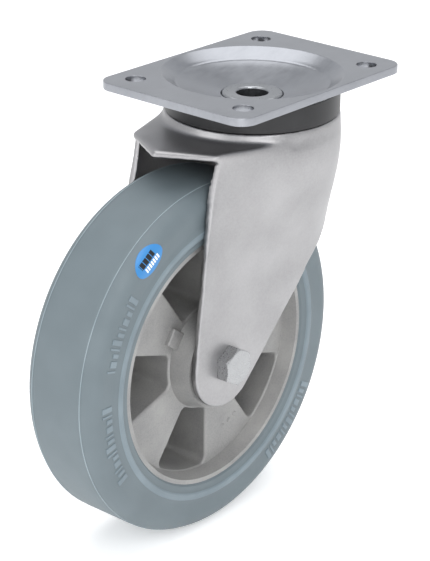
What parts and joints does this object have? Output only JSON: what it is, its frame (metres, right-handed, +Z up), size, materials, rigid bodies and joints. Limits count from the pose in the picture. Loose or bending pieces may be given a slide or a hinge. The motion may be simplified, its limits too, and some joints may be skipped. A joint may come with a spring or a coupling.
{
  "type": "swivel castor",
  "caption": "Top-plate swivel castor: dished plate, pressed fork on swivel ball races, ball-bearing wheel with an elastic rubber tyre.",
  "frame": {"origin": "swivel axis on the mounting face of the top plate", "axes": "+Z up along the swivel axis out of the mounting face, Y along the wheel axle, the wheel trails towards -X"},
  "size_m": [0.224, 0.103, 0.245],
  "materials": {
    "zinc_steel": "zinc-plated pressed steel",
    "fork_steel": "zinc-plated pressed steel, satin",
    "bolt_steel": "bright zinc-plated steel",
    "bearing_steel": "ground bearing steel",
    "seal_plastic": "black moulded plastic",
    "cage_plastic": "moulded polyamide",
    "nylon": "white polyamide",
    "cast_aluminium": "die-cast, tumbled",
    "tyre_rubber": "grey elastic rubber, semi-matt",
    "sticker_film": "printed film, plain bars"
  },
  "bodies": {
    "plate": {"top_plate": "zinc_steel", "kingpin": "zinc_steel", "lower_race": "zinc_steel", "dust_seal": "seal_plastic"},
    "upper_ball_row": {"upper_balls": "bearing_steel"},
    "lower_ball_row": {"lower_balls": "bearing_steel"},
    "fork": {"fork": "fork_steel", "axle_bolt": "bolt_steel", "axle_nut": "bolt_steel", "nut_insert": "nylon", "axle_tube": "bearing_steel", "inner_race_left": "bearing_steel", "inner_race_right": "bearing_steel", "axle_spacer_left": "bolt_steel", "axle_spacer_right": "bolt_steel"},
    "ball_set_left": {"bearing_balls_left": "bearing_steel", "cage_left": "cage_plastic"},
    "ball_set_right": {"bearing_balls_right": "bearing_steel", "cage_right": "cage_plastic"},
    "wheel": {"rim": "cast_aluminium", "tyre": "tyre_rubber", "sticker": "sticker_film", "outer_race_left": "bearing_steel", "outer_race_right": "bearing_steel", "bearing_shield_left": "bearing_steel", "bearing_shield_right": "bearing_steel"}
  },
  "joints": [
    {"name": "swivel", "type": "hinge", "parent": "plate", "child": "fork", "pos_m": [0, 0, 0], "axis": [0, 0, 1], "continuous": true},
    {"name": "upper_row_roll", "type": "hinge", "parent": "plate", "child": "upper_ball_row", "pos_m": [0, 0, 0], "axis": [0, 0, 1], "continuous": true},
    {"name": "lower_row_roll", "type": "hinge", "parent": "plate", "child": "lower_ball_row", "pos_m": [0, 0, 0], "axis": [0, 0, 1], "continuous": true},
    {"name": "wheel_spin", "type": "hinge", "parent": "fork", "child": "wheel", "pos_m": [-0.055, 0, -0.145], "axis": [0, 1, 0], "continuous": true},
    {"name": "ball_set_left_roll", "type": "hinge", "parent": "fork", "child": "ball_set_left", "pos_m": [-0.055, 0, -0.145], "axis": [0, 1, 0], "continuous": true},
    {"name": "ball_set_right_roll", "type": "hinge", "parent": "fork", "child": "ball_set_right", "pos_m": [-0.055, 0, -0.145], "axis": [0, 1, 0], "continuous": true}
  ],
  "couplings": [
    {"joint": "upper_row_roll", "follows": "swivel", "ratio": 0.5},
    {"joint": "lower_row_roll", "follows": "swivel", "ratio": 0.5},
    {"joint": "ball_set_left_roll", "follows": "wheel_spin", "ratio": 0.6185},
    {"joint": "ball_set_right_roll", "follows": "wheel_spin", "ratio": 0.6185}
  ]
}
